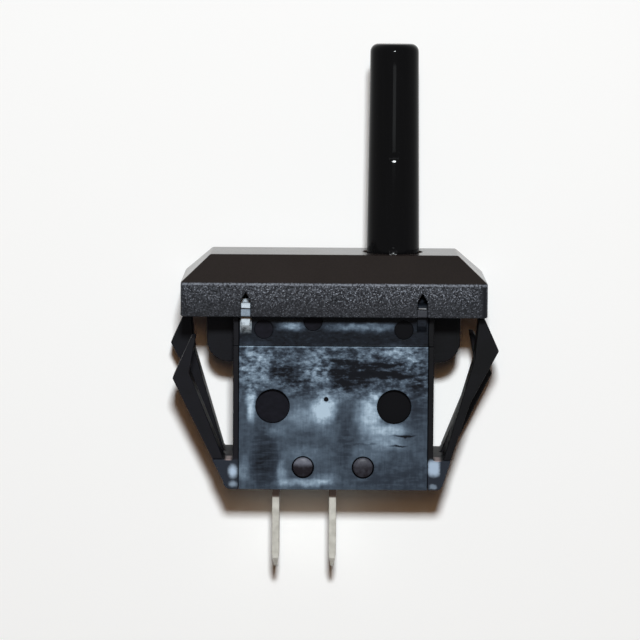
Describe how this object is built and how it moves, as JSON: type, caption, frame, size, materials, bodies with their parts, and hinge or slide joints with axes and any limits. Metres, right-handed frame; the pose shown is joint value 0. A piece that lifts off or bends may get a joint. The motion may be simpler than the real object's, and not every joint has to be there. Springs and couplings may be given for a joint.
{
  "type": "door switch",
  "caption": "Snap-in panel door switch: bevelled bezel, long off-centre plunger, narrow body with barbed spring arms and quick-connect tabs.",
  "frame": {"origin": "centre of the bezel rim's underside, in the plane of the panel face that it is pressed against", "axes": "+Z out of the panel along the plunger, +X along the bezel towards the plunger, -Y towards the cover"},
  "size_m": [0.0366, 0.0158, 0.0585],
  "materials": {
    "bezel_plastic": "fine-grained black moulding",
    "housing_plastic": "smooth black moulding",
    "cover_plastic": "glossy black moulding with handling smears",
    "plunger_plastic": "polished black moulding",
    "spring_steel": "drawn wire",
    "lever_brass": "stamped strip",
    "contact_silver": "silver button",
    "pin_steel": "turned pin",
    "tab_tinned": "tin-plated stamping"
  },
  "bodies": {
    "switch_body": {"bezel": "bezel_plastic", "housing": "housing_plastic", "cover": "cover_plastic", "return_spring": "spring_steel", "contact_spring": "spring_steel", "pivot_pin": "pin_steel", "terminal_common": "tab_tinned", "terminal_switched": "tab_tinned", "fixed_contact": "contact_silver"},
    "plunger": {"plunger": "plunger_plastic"},
    "contact_arm": {"contact_lever": "lever_brass", "moving_contact": "contact_silver"}
  },
  "joints": [
    {"name": "plunger_slide", "type": "slide", "parent": "switch_body", "child": "plunger", "axis": [0, 0, -1], "range_m": [0, 0.006], "stiffness_N_per_m": 300, "springref_m": -0.004, "deforming": ["return_spring"]},
    {"name": "lever_tilt", "type": "hinge", "parent": "switch_body", "child": "contact_arm", "pos_m": [0.0009, 0, -0.0112], "axis": [0, -1, 0], "range_deg": [0, 8.2], "deforming": ["contact_spring"]}
  ],
  "couplings": [
    {"joint": "lever_tilt", "follows": "plunger_slide", "rad_per_m": 23.64}
  ]
}
